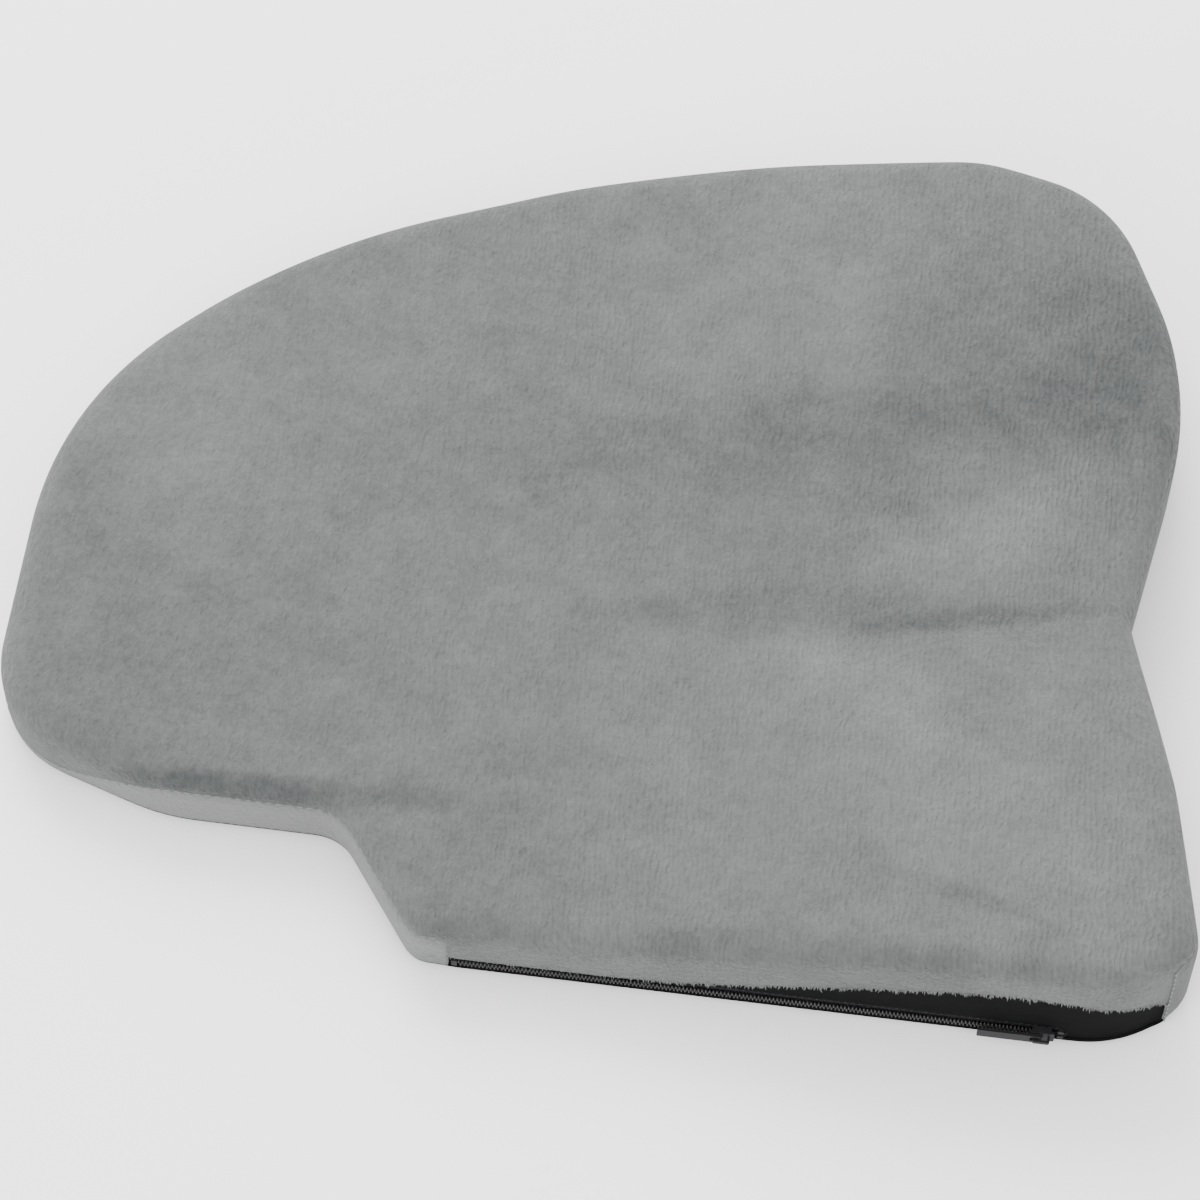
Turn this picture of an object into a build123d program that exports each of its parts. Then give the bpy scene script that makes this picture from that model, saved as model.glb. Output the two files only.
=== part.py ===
from build123d import *
import os
from math import exp, radians, tan

# Kneeling pad: a moulded foam core in a zipped plush cover.
# Millimetres. The origin is on the floor under the middle of the pad's box.
# +X runs along the straight zip side from the nose to the two thick lobes, +Y away from that side, +Z up.

# ---- the pad's form
pad_length = 426.0
pad_width = 320.0
nose_thickness = 32.0
lobe_thickness = 56.0
rise_length = 170.0         # the top climbs to the lobes over this length
plateau_length = 64.0       # the lobes' level length, back from their tips
trough_depth = 14.0         # the trough runs in from the notch along the pad's middle line
trough_half_width = 50.0
rim_radius = 10.0           # rounding of the top edge
base_radius = 4.0           # rounding of the bottom edge

# ---- plush cover
cover_thickness = 2.0       # cloth with its pile
seam_drop = 7.0             # top seam, below the top surface
nose_wrap = 16.0            # how much lower it runs round the nose's tip
wrap_start = 72.0           # from the nose's tip, where it starts to drop
wrap_end = 22.0             # where it is at its lowest
base_seam_height = 4.0      # bottom seam, above the floor
thread_height = 0.8         # stitch line, across the seam
thread_depth = 1.0          # stitch lines and the black panel's face, into the cover
band_joint_setback = 155.0  # upright seam in the far side, from the nose's tip

# ---- zip in the straight side, with each depth counted inwards from that side's face
zip_height = 8.0            # middle of the chain, above the floor
zip_closed_gap = 7.0        # from the step's end of the straight side to the zip
zip_open_gap = 2.0          # from the zip to the straight side's other end
tape_depth = 1.4
tape_thickness = 0.6
tape_gap = 1.8              # between the two tapes
coil_gap = 0.1              # between the two halves of the chain
coil_height = 1.85          # of each half, across the tape
coil_thickness = 1.5
slider_length = 9.0
slider_height = 6.6
plate_thickness = 1.0
plate_corner = 1.2
running_gap = 0.3           # slider to tape, to chain and to foam
post_length = 1.6
post_setback = 0.6          # from the slider's mouth
bail_length = 6.0
bail_width = 1.8
bail_thickness = 0.8
bail_corner = 0.7
pin_radius = 0.5
pin_gap = 0.3               # pin to plate and to bail
tab_length = 22.0
tab_height = 5.6
tab_thickness = 1.0
tab_edge = 0.45             # rounding of its outline
tab_arm_height = 1.3
tab_window_gap = 0.8        # window's end to the bail
stop_length = 2.0
stop_height = 2.1
stop_corner = 0.5
end_margin = 1.0            # clear length beyond the slider at each end of its travel
stitch_thickness = 0.4
stitch_height = 0.4

# ---- black panel above the zip
panel_lead = 48.0           # from the zip's closed end to where the upper edge starts to climb
panel_crest = 14.0          # from the edge's highest point to the end of the straight side
panel_height = 38.0         # upper edge at its highest, above the floor
panel_wrap = 30.0           # how far the tip reaches round the corner past the straight side
panel_tip_height = 25.0
panel_tip_radius = 5.0
side_depth = 30.0           # how far in from the zip side its own zone reaches

# ---- base cloth
base_hem = 12.0             # smooth border round the dotted field
dot_radius = 2.5
dot_height = 0.8
dot_pitch = 20.0
dot_margin = 8.0            # from the field's border to a dot's middle

# ---- label
label_length = 40.0
label_width = 20.0
label_thickness = 0.4
label_setback = 74.0        # its middle, from the nose's tip

# ---- the way it is cut
corner_share = 0.49         # of a corner's shorter run, the most that its rounding may take
cut_margin = 1.0            # how far a cutting block runs past what it cuts
tiny = 0.01

# The plan: each corner as a share of the half length and half width, with its radius.
plan_corners = [
    (-0.256, -1.000, 12.0),     # end of the zip side, at the step
    (0.892, -1.000, 44.0),      # near lobe, a bend and its outer corner
    (1.006, -0.886, 14.0),
    (0.945, -0.509, 78.0),
    (0.849, -0.092, 12.0),      # notch between the lobes
    (0.919, 0.471, 107.0),      # back of the far lobe
    (0.754, 0.919, 52.0),
    (0.523, 1.002, 64.0),
    (-0.001, 0.979, 320.0),     # long gentle far side
    (-0.620, 0.657, 270.0),
    (-0.985, 0.195, 120.0),     # shoulder of the nose
    (-1.002, -0.494, 40.0),
    (-0.932, -0.633, 36.0),     # near corner of the nose
    (-0.700, -0.732, 80.0),
    (-0.404, -0.734, 16.0),     # inner corner of the step
]

# ---- depths and heights that follow from the sizes above
tall = 4 * lobe_thickness       # more than any height here
tape_back = tape_depth + tape_thickness
coil_face = coil_thickness - tape_depth             # the chain stands this far out
plate_face = coil_face + running_gap + plate_thickness
pin_out = plate_face + pin_gap + pin_radius         # the tab's pin, out from the side's face
bail_face = pin_out + pin_radius + pin_gap + bail_thickness
inner_plate = (tape_back + running_gap, tape_back + running_gap + plate_thickness)
slot_bottom = base_seam_height
slot_top = 2 * zip_height - base_seam_height
nose_tip = -pad_length / 2
rise_end = pad_length / 2 - plateau_length
rise_start = rise_end - rise_length
band_joint_x = nose_tip + band_joint_setback
label_x = nose_tip + label_setback


def raw_plan():
    """The plan from its corner list, not yet centred."""
    points = [Vector(u * pad_length / 2, v * pad_width / 2) for u, v, _ in plan_corners]
    radii = []
    for i, (_, _, radius) in enumerate(plan_corners):
        before = points[i - 1] - points[i]
        after = points[(i + 1) % len(points)] - points[i]
        room = corner_share * min(before.length, after.length)
        radii.append(min(radius, room * tan(radians(before.get_angle(after) / 2))))
    return make_face(FilletPolyline(*points, radius=radii, close=True))


raw_box = raw_plan().bounding_box()
plan_shift = Vector(
    -(raw_box.min.X + raw_box.max.X) / 2, (bail_face - raw_box.min.Y - raw_box.max.Y) / 2
)


def plan_face(inset):
    """The pad's plan, drawn in by inset all round and centred with the slider counted in."""
    face = Pos(plan_shift) * raw_plan()
    return offset(face, amount=-inset) if inset else face


# ---- places along the straight side, which the zip and the black panel follow
near_y = raw_box.min.Y + plan_shift.Y       # its face
straight_side = (
    plan_face(0).edges().filter_by(GeomType.LINE).sort_by(Axis.Y)[0].bounding_box()
)
zip_left = straight_side.min.X + zip_closed_gap
zip_right = straight_side.max.X - zip_open_gap
slider_right = zip_right - 2 * stop_length - end_margin
slider_left = slider_right - slider_length
slider_middle = (slider_left + slider_right) / 2
post_right = slider_right - post_setback
post_left = post_right - post_length
bottom_stop_left = zip_left + end_margin
bottom_stop_right = bottom_stop_left + stop_length
travel = slider_left - bottom_stop_right - end_margin
climb_start = zip_left + panel_lead
crest_x = straight_side.max.X - panel_crest
panel_right = straight_side.max.X + panel_wrap


def smooth_step(share):
    """0 to 1 with a level start and end."""
    share = min(max(share, 0.0), 1.0)
    return share * share * (3 - 2 * share)


def top_height(x, y):
    """Height of the pad's top surface."""
    climb = smooth_step((x - rise_start) / (rise_end - rise_start))
    trough = trough_depth * exp(-((y / trough_half_width) ** 2))
    return nose_thickness + climb * (lobe_thickness - nose_thickness - trough)


def seam_height(x, y):
    """Height of the top seam, which dips round the nose's tip."""
    wrap = smooth_step((nose_tip + wrap_start - x) / (wrap_start - wrap_end))
    return top_height(x, y) - seam_drop - nose_wrap * wrap


def space_under(height_at, drop, steps_x=14, steps_y=14):
    """All space under a height rule's surface lowered by drop."""
    reach = 1.2             # the surface is a little larger than the plan
    rows = []
    for j in range(steps_y + 1):
        y = (j / steps_y - 0.5) * reach * pad_width
        row = []
        for i in range(steps_x + 1):
            x = (i / steps_x - 0.5) * reach * pad_length
            row.append(Vector(x, y, height_at(x, y) - drop))
        rows.append(row)
    surface = Face.make_surface_from_array_of_points(rows)
    return Solid.extrude(surface, Vector(0, 0, -tall))


def pad_form(inset):
    """The whole pad's form, drawn in by inset on every side."""
    prism = Pos(0, 0, inset) * extrude(plan_face(inset), amount=tall)
    body = prism & space_under(top_height, inset)
    rim = [e for e in body.edges() if e.bounding_box().min.Z > nose_thickness / 2]
    body = fillet(rim, rim_radius - inset)
    base = [e for e in body.edges() if e.bounding_box().max.Z < inset + tiny]
    return fillet(base, base_radius - inset)


def block(x, y, z):
    """A box from (low, high) pairs."""
    size = Box(x[1] - x[0], y[1] - y[0], z[1] - z[0])
    return Pos((x[0] + x[1]) / 2, (y[0] + y[1]) / 2, (z[0] + z[1]) / 2) * size


def side_block(x, depth, z):
    """A box in or on the zip side, its depth counted inwards from that side's face."""
    return block(x, (near_y + depth[0], near_y + depth[1]), z)


def mirrored_about_chain(shape):
    """The same shape on the other side of the zip's middle line."""
    return mirror(shape, Plane.XY.offset(zip_height))


def save(shape, name):
    export_step(shape, f"parts/{name}.step")


def pieces(*shapes):
    """Separate solids of one node."""
    return Compound(children=[s for shape in shapes for s in shape.solids()])


def panel_zone():
    """Everything behind the outline of the black panel, from the zip's top edge up."""
    climb = Spline(
        (climb_start, slot_top),
        (crest_x, panel_height),
        tangents=[(1, 0.05), (1, 0)],
    )
    fall = Spline(
        (crest_x, panel_height),
        (panel_right, panel_tip_height),
        tangents=[(1, 0), (1, -0.4)],
    )
    right = Line((panel_right, panel_tip_height), (panel_right, slot_bottom))
    under = Polyline(
        (panel_right, slot_bottom),
        (zip_right, slot_bottom),
        (zip_right, slot_top),
        (climb_start, slot_top),
    )
    face = make_face([climb, fall, right, under])
    tip = face.vertices().filter_by_position(Axis.X, panel_right - tiny, panel_right + tiny)
    face = fillet(tip.sort_by(Axis.Y)[-1:], panel_tip_radius)
    upright = Plane(origin=(0, near_y - cut_margin, 0), x_dir=(1, 0, 0), z_dir=(0, -1, 0))
    return extrude(upright * face, amount=-side_depth - cut_margin)


os.makedirs("parts", exist_ok=True)

# ---- forms that the cover and the core share
outer_form = pad_form(0)
middle_form = pad_form(thread_depth)
inner_form = pad_form(cover_thickness)
cover = outer_form - inner_form
cover_face = outer_form - middle_form
seam_steps = 28                             # fine enough for the seam's dip at the nose
below_top_seam = space_under(seam_height, 0, steps_x=seam_steps)
below_top_thread = space_under(seam_height, thread_height, steps_x=seam_steps)
side_cut = (-cut_margin, side_depth)
side_zone = side_block((zip_left, panel_right), side_cut, (slot_bottom, tall))
slot_zone = side_block((zip_left, zip_right), side_cut, (slot_bottom, slot_top))
black_zone = panel_zone()

# ---- foam core, with a shallow channel behind the zip
channel = side_block(
    (zip_left, zip_right), (0, inner_plate[1] + running_gap), (slot_bottom, slot_top)
)
save(inner_form - channel, "foam_core")

# ---- plush top panel, with the skirt that it turns down over the zip side
skirt = (cover & side_zone) - slot_zone - black_zone
save((cover - below_top_seam - side_zone) + skirt, "top_panel")

# ---- plush side bands and the thread of their seams
whole_x = (-pad_length, pad_length)
whole_y = (-pad_width, pad_width)
top_thread = ((cover_face & below_top_seam) - below_top_thread) - side_zone
base_slab = block(whole_x, whole_y, (base_seam_height, base_seam_height + thread_height))
base_thread = (cover_face & base_slab) - side_zone
band_space = block(whole_x, whole_y, (base_seam_height, tall))
bands = (cover & below_top_seam & band_space) - side_zone
joint_x = (band_joint_x - thread_height / 2, band_joint_x + thread_height / 2)
joint_slab = block(joint_x, (0, pad_width), (base_seam_height, tall))
joint_thread = (cover_face & below_top_seam & joint_slab) - top_thread - base_thread
end_slab = side_block(
    (panel_right, panel_right + thread_height), side_cut, (base_seam_height, tall)
)
end_thread = (cover_face & below_top_seam & end_slab) - top_thread - base_thread
bands = bands - top_thread - base_thread - joint_thread - end_thread
far_half = block((band_joint_x, pad_length), (0, pad_width), (0, tall))
lobe_end = block((0, pad_length), whole_y, (0, tall))
lobe_space = far_half + lobe_end
save(bands & lobe_space, "lobe_side_band")
save(bands - lobe_space, "nose_side_band")
save(top_thread, "top_seam_stitching")
save(base_thread, "base_seam_stitching")
save(pieces(joint_thread, end_thread), "band_joint_stitching")

# ---- black panel above the zip, thinner than the plush so the pile stands over its edge
save((middle_form - inner_form) & black_zone, "zip_side_panel")

# ---- base cloth with its dotted field and label
field = extrude(plan_face(base_hem), amount=dot_height)
base_space = block(whole_x, whole_y, (0, base_seam_height))
label_z = (dot_height - label_thickness, dot_height)
label = block(
    (label_x - label_length / 2, label_x + label_length / 2),
    (-label_width / 2, label_width / 2),
    label_z,
)
save((cover & base_space) - field, "base_panel")
save(label, "care_label")
dot_area = plan_face(base_hem + dot_margin)
columns = int(pad_length / dot_pitch / 2)
rows = int(pad_width / dot_pitch / 2)
dots = []
for i in range(-columns, columns + 1):
    for j in range(-rows, rows + 1):
        x, y = (i + 0.5 * (j % 2)) * dot_pitch, j * dot_pitch
        over_label = (
            abs(x - label_x) < label_length / 2 + dot_margin
            and abs(y) < label_width / 2 + dot_margin
        )
        if dot_area.is_inside(Vector(x, y, 0)) and not over_label:
            dots.append(Pos(x, y, dot_height / 2) * Cylinder(dot_radius, dot_height))
save(pieces(*dots), "grip_dots")

# ---- zip tapes, chain and stops
upper_tape = side_block(
    (zip_left, zip_right), (tape_depth, tape_back), (zip_height + tape_gap / 2, slot_top)
)
save(upper_tape, "zip_tape_upper")
save(mirrored_about_chain(upper_tape), "zip_tape_lower")
upper_coil = side_block(
    (bottom_stop_right, post_left - running_gap),
    (-coil_face, tape_depth),
    (zip_height + coil_gap / 2, zip_height + coil_gap / 2 + coil_height),
)
save(upper_coil, "zip_coil_upper")
save(mirrored_about_chain(upper_coil), "zip_coil_lower")
upper_stop = side_block(
    (slider_right + end_margin, slider_right + end_margin + stop_length),
    (-coil_face, tape_depth),
    (zip_height + tape_gap / 2, zip_height + tape_gap / 2 + stop_height),
)
save(pieces(upper_stop, mirrored_about_chain(upper_stop)), "zip_top_stops")
bottom_stop = side_block(
    (bottom_stop_left, bottom_stop_right),
    (-coil_face, tape_depth),
    (zip_height - stop_height, zip_height + stop_height),
)
save(fillet(bottom_stop.edges().filter_by(Axis.Y), stop_corner), "zip_bottom_stop")
stitch_line = side_block(
    (zip_left, zip_right),
    (tape_depth - stitch_thickness, tape_depth),
    (slot_top - stitch_height, slot_top),
)
save(pieces(stitch_line, mirrored_about_chain(stitch_line)), "zip_tape_stitching")

# ---- slider: two plates joined by the post, flanges over the chain, and the bail
slider_x = (slider_left, slider_right)
slider_z = (zip_height - slider_height / 2, zip_height + slider_height / 2)
outer_plate = side_block(slider_x, (-plate_face, -plate_face + plate_thickness), slider_z)
outer_plate = fillet(outer_plate.edges().filter_by(Axis.Y), plate_corner)
back_plate = side_block(slider_x, inner_plate, slider_z)
back_plate = fillet(back_plate.edges().filter_by(Axis.Y), plate_corner)
post_reach = tape_gap / 2 - running_gap
post = side_block(
    (post_left, post_right),
    (-plate_face, inner_plate[0]),
    (zip_height - post_reach, zip_height + post_reach),
)
upper_flange = side_block(
    (slider_left + plate_corner, slider_right - plate_corner),
    (-plate_face, tape_depth - running_gap),
    (zip_height + coil_gap / 2 + coil_height + running_gap, slider_z[1]),
)
bail_x = (slider_middle - bail_length / 2, slider_middle + bail_length / 2)
bail_z = (zip_height - bail_width / 2, zip_height + bail_width / 2)
bail = side_block(bail_x, (-bail_face, -plate_face), bail_z)
bail_tops = bail.edges().filter_by(Axis.Z).sort_by(Axis.Y)[:2]
bail = fillet(bail_tops, bail_corner)
eye = side_block(
    (bail_x[0] + bail_thickness, bail_x[1] - bail_thickness),
    (-bail_face + bail_thickness, -plate_face),
    (bail_z[0] - cut_margin, bail_z[1] + cut_margin),
)
slider = outer_plate + back_plate + post + upper_flange + mirrored_about_chain(upper_flange)
save(slider + (bail - eye), "zip_slider")

# ---- pull tab: a pin under the bail, two arms beside it and a plate beyond it
pin = Pos(slider_middle, near_y - pin_out, zip_height) * Cylinder(pin_radius, tab_height)
tab_depth = (-pin_out - tab_thickness / 2, -pin_out + tab_thickness / 2)
tab_z = (zip_height - tab_height / 2, zip_height + tab_height / 2)
plate = side_block((slider_middle - tab_length, slider_middle), tab_depth, tab_z)
plate = fillet(plate.edges().filter_by(Axis.Y), tab_edge)
window = side_block(
    (bail_x[0] - tab_window_gap, slider_middle + cut_margin),
    (tab_depth[0] - cut_margin, tab_depth[1] + cut_margin),
    (tab_z[0] + tab_arm_height, tab_z[1] - tab_arm_height),
)
save((plate - window) + pin, "zip_pull_tab")
print("slider travel", travel, "tab pin", slider_middle, near_y - pin_out, zip_height)
print("zip", zip_left, zip_right, "panel", climb_start, crest_x, panel_right)
print("near side", near_y, "plan", raw_box.size)
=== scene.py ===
import math

import bpy
import numpy as np
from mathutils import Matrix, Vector, geometry


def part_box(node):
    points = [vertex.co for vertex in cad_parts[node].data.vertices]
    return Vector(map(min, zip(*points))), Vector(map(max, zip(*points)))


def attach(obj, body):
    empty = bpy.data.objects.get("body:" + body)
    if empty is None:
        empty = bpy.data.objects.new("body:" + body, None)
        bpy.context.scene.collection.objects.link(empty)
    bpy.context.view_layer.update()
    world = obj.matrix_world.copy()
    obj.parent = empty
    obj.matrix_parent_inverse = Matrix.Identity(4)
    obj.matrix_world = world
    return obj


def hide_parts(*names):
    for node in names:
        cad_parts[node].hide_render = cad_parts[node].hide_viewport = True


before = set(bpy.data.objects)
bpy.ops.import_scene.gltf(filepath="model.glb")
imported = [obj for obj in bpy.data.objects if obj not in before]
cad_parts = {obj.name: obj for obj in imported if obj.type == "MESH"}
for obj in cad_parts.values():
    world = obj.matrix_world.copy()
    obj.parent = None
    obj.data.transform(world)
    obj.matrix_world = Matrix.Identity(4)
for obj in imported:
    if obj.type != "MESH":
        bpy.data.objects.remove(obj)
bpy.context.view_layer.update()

# ---------------------------------------------------------------------------------------------
# Studio: a pale floor, soft boxes round the pad and a bright room. The camera looks down on the
# zip side through a long lens, so that the pad's sides hardly converge.
look_azimuth = math.radians(7.3)
look_elevation = math.radians(64.0)
look_distance = 1.767
look_at = Vector((-0.0060, -0.0218, 0.025))
look_back = Vector((
    math.sin(look_azimuth) * math.cos(look_elevation),
    -math.cos(look_azimuth) * math.cos(look_elevation),
    math.sin(look_elevation),
))
camera = bpy.data.objects.new("camera", bpy.data.cameras.new("camera"))
camera.data.lens = 150.0
camera.data.sensor_width = 36.0
camera.location = look_at + look_back * look_distance
camera.rotation_euler = (-look_back).to_track_quat("-Z", "Y").to_euler()
bpy.context.collection.objects.link(camera)
bpy.context.scene.camera = camera


def soft_box(name, place, size, power):
    """A square soft box at place, turned towards the pad."""
    lamp = bpy.data.lights.new(name, "AREA")
    lamp.size = size
    lamp.energy = power
    box = bpy.data.objects.new(name, lamp)
    box.location = place
    box.rotation_euler = (-Vector(place)).to_track_quat("-Z", "Y").to_euler()
    bpy.context.collection.objects.link(box)


soft_box("front_light", (-0.7, -1.3, 1.1), 1.0, 22.0)
soft_box("far_light", (-0.5, 1.3, 1.3), 1.2, 56.0)

room = bpy.data.worlds.new("room")
room.use_nodes = True
room.node_tree.nodes["Background"].inputs["Color"].default_value = (1.0, 1.0, 1.0, 1.0)
room.node_tree.nodes["Background"].inputs["Strength"].default_value = 2.2
bpy.context.scene.world = room

floor_reach, floor_drop = 6.0, 0.0002
floor_mesh = bpy.data.meshes.new("studio_floor")
floor_mesh.from_pydata(
    [(floor_reach * x, floor_reach * y, -floor_drop) for x, y in ((-1, -1), (1, -1), (1, 1), (-1, 1))],
    [], [(0, 1, 2, 3)],
)
studio_floor = bpy.data.objects.new("studio_floor", floor_mesh)
bpy.context.collection.objects.link(studio_floor)


def plain_material(name, colour, roughness):
    """A Principled material of one base colour, for its own section to add detail to."""
    material = bpy.data.materials.new(name)
    material.use_nodes = True
    shader = material.node_tree.nodes["Principled BSDF"]
    shader.inputs["Base Color"].default_value = (*colour, 1.0)
    shader.inputs["Roughness"].default_value = roughness
    return material, shader


floor_paint, _ = plain_material("studio_floor", (0.93, 0.93, 0.93), 0.9)
floor_mesh.materials.append(floor_paint)

# ---------------------------------------------------------------------------------------------
# Foam core: one block of cream moulded foam that gives the pad its plan, its wedge, the two
# lobes and the trough between them. A shallow channel behind the zip leaves room for the slider.
low, high = (Vector(corner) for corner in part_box("base_panel"))
half_length = (high.x - low.x) / 2
half_width = (high.y - low.y) / 2
plan_middle_y = (high.y + low.y) / 2
side_y = low.y                              # face of the straight zip side
nose_thickness, lobe_thickness = 0.032, 0.056
rise_end = half_length - 0.064              # the lobes are level from here to their tips
rise_start = rise_end - 0.170
trough_depth, trough_half_width = 0.014, 0.050
rim_radius, base_radius = 0.010, 0.004
base_seam_height = 0.004
slot_top = 0.012                            # upper edge of the zip's slot
zip_left, zip_right = (corner[0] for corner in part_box("zip_tape_upper"))
panel_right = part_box("zip_side_panel")[1][0]
cover_thickness = 0.002
channel_depth = 0.0046
cloth_spacing = 0.004
# Each corner of the plan as a share of the half length and half width, with its radius.
plan_corners = [
    (-0.256, -1.000, 0.012),
    (0.892, -1.000, 0.044),
    (1.006, -0.886, 0.014),
    (0.945, -0.509, 0.078),
    (0.849, -0.092, 0.012),
    (0.919, 0.471, 0.107),
    (0.754, 0.919, 0.052),
    (0.523, 1.002, 0.064),
    (-0.001, 0.979, 0.320),
    (-0.620, 0.657, 0.270),
    (-0.985, 0.195, 0.120),
    (-1.002, -0.494, 0.040),
    (-0.932, -0.633, 0.036),
    (-0.700, -0.732, 0.080),
    (-0.404, -0.734, 0.016),
]


def smooth_step(share):
    """A smooth climb from 0 to 1."""
    share = np.clip(share, 0.0, 1.0)
    return share * share * (3 - 2 * share)


def top_height(x, y):
    """Height of the pad's top surface."""
    climb = smooth_step((x - rise_start) / (rise_end - rise_start))
    trough = trough_depth * np.exp(-((y / trough_half_width) ** 2))
    return nose_thickness + climb * (lobe_thickness - nose_thickness - trough)


def plan_line(spacing, widest_turn=0.22):
    """Points round the plan, from the step along the zip side, and their outward normals."""
    corners = np.array([(u * half_length, v * half_width + plan_middle_y) for u, v, _ in plan_corners])
    starts, ends, arcs = [], [], []
    for i, (_, _, radius) in enumerate(plan_corners):
        back = corners[i - 1] - corners[i]
        ahead = corners[(i + 1) % len(corners)] - corners[i]
        shorter = 0.49 * min(np.linalg.norm(back), np.linalg.norm(ahead))
        back = back / np.linalg.norm(back)
        ahead = ahead / np.linalg.norm(ahead)
        half_angle = math.acos(float(np.dot(back, ahead))) / 2
        radius = min(radius, shorter * math.tan(half_angle))
        reach = radius / math.tan(half_angle)
        bisector = (back + ahead) / np.linalg.norm(back + ahead)
        starts.append(corners[i] + back * reach)
        ends.append(corners[i] + ahead * reach)
        turn = back[1] * ahead[0] - back[0] * ahead[1]
        centre = corners[i] + bisector * radius / math.sin(half_angle)
        arcs.append((centre, radius, math.copysign(1.0, turn)))
    points, normals = [], []
    for i, (centre, radius, sense) in enumerate(arcs):
        first = starts[i] - centre
        last = ends[i] - centre
        sweep = math.atan2(first[0] * last[1] - first[1] * last[0], float(np.dot(first, last)))
        steps = max(3, math.ceil(abs(sweep) * radius / spacing), math.ceil(abs(sweep) / widest_turn))
        for k in range(steps):
            a = sweep * k / steps
            spoke = np.array([
                first[0] * math.cos(a) - first[1] * math.sin(a),
                first[0] * math.sin(a) + first[1] * math.cos(a),
            ])
            points.append(centre + spoke)
            normals.append(spoke / radius * sense)
        run = starts[(i + 1) % len(arcs)] - ends[i]
        length = np.linalg.norm(run)
        steps = max(1, round(length / spacing))
        for k in range(steps):
            points.append(ends[i] + run * k / steps)
            normals.append(np.array([run[1], -run[0]]) / length)
    return np.array(points), np.array(normals)


outline, outward = plan_line(cloth_spacing)
columns = len(outline)
side_reach = 0.030                          # the zip side's corners turn no further back than this
near_side = outline[:, 1] < side_y + side_reach
for stop in (zip_left, zip_right, panel_right):      # a column stands exactly at each of these
    gap = np.where(near_side, np.abs(outline[:, 0] - stop), 1.0)
    outline[np.argmin(gap), 0] = stop
tolerance = 1e-6
in_slot = near_side & (outline[:, 0] > zip_left - tolerance) & (outline[:, 0] < zip_right + tolerance)
in_side = near_side & (outline[:, 0] > zip_left - tolerance) & (outline[:, 0] < panel_right + tolerance)


def form_row(level, inset=0.0, sink=0.0):
    """The points at one level up the wall and over the rim, on the form drawn in by inset."""
    radius = rim_radius - inset
    rim_start = top_height(outline[:, 0], outline[:, 1]) - rim_radius
    angle = np.clip((level - rim_start) / radius, 0, math.pi / 2)
    drawn_in = inset + radius * (1 - np.cos(angle)) + sink
    flat = outline - outward * drawn_in[:, None]
    rim_start = top_height(flat[:, 0], flat[:, 1]) - rim_radius
    return np.column_stack([flat, np.where(angle > 0, rim_start + radius * np.sin(angle), level)])


def base_rows(inset=0.0):
    """The two rows round the rounded lower edge."""
    made = []
    radius = base_radius - inset
    for angle in (math.pi / 2, math.pi / 4):
        flat = outline - outward * (inset + radius * (1 - math.cos(angle)))
        lift = np.full(columns, base_radius - radius * math.sin(angle))
        made.append(np.column_stack([flat, lift]))
    return made


def level_at_top(inset=0.0):
    """The level at which a row has come over the rim and meets the flat top."""
    return top_height(outline[:, 0], outline[:, 1]) - rim_radius + (rim_radius - inset) * math.pi / 2


def filled_loop(loop, spacing):
    """Points and triangles that fill a closed loop, and where each point came from."""
    inner = []
    lows, highs = loop.min(axis=0), loop.max(axis=0)
    row_gap = spacing * math.sqrt(3) / 2
    for j in range(int((highs[1] - lows[1]) / row_gap) + 1):
        y = lows[1] + j * row_gap
        crossings = []
        for a, b in zip(loop, np.roll(loop, -1, axis=0)):
            if (a[1] > y) != (b[1] > y):
                crossings.append(a[0] + (y - a[1]) / (b[1] - a[1]) * (b[0] - a[0]))
        for x in np.arange(lows[0] + (j % 2) * spacing / 2, highs[0], spacing):
            if sum(crossing < x for crossing in crossings) % 2:
                inner.append((x, y))
    inner = np.array(inner)
    gap = np.array([np.min(np.hypot(*(loop - p).T)) for p in inner])
    together = np.vstack([loop, inner[gap > 0.6 * spacing]])
    ring = [(i, (i + 1) % len(loop)) for i in range(len(loop))]
    whole = [tuple(range(len(loop)))]
    made = geometry.delaunay_2d_cdt([Vector(p) for p in together], ring, whole, 1, 1e-9)
    return np.array([tuple(v) for v in made[0]]), made[2], [o[0] if o else -1 for o in made[3]]


def closed_bag(rows, spacing, top_of):
    """Points and faces of a bag: a wall of rows, closed by a flat base and a domed top."""
    points = np.vstack(rows)
    faces, face_rows = [], []
    for r in range(len(rows) - 1):
        for c in range(columns):
            d = (c + 1) % columns
            below, above = r * columns, (r + 1) * columns
            faces.append((below + c, below + d, above + d, above + c))
            face_rows.append(r)
    for row, gap, upwards in ((len(rows) - 1, spacing, True), (0, 2 * spacing, False)):
        first = row * columns
        flat, triangles, origins = filled_loop(rows[row][:, :2], gap)
        place, extra = [], []
        for k, (x, y) in enumerate(flat):
            if 0 <= origins[k] < columns:
                place.append(first + origins[k])
            else:
                place.append(len(points) + len(extra))
                extra.append((x, y, top_of(x, y) if upwards else rows[row][0, 2]))
        points = np.vstack([points, np.array(extra)])
        for triangle in triangles:
            corners = tuple(place[k] for k in triangle)
            faces.append(corners if upwards else corners[::-1])
            face_rows.append(len(rows) if upwards else -1)
    return points, faces, np.array(face_rows)


def new_piece(name, vertices, polygons, material=None):
    """A smooth mesh object in the frame's own coordinates."""
    mesh = bpy.data.meshes.new(name)
    mesh.from_pydata(
        [tuple(map(float, v)) for v in vertices], [], [tuple(map(int, f)) for f in polygons]
    )
    mesh.update()
    mesh.shade_smooth()
    if material:
        mesh.materials.append(material)
    made = bpy.data.objects.new(name, mesh)
    bpy.context.collection.objects.link(made)
    return made


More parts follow.
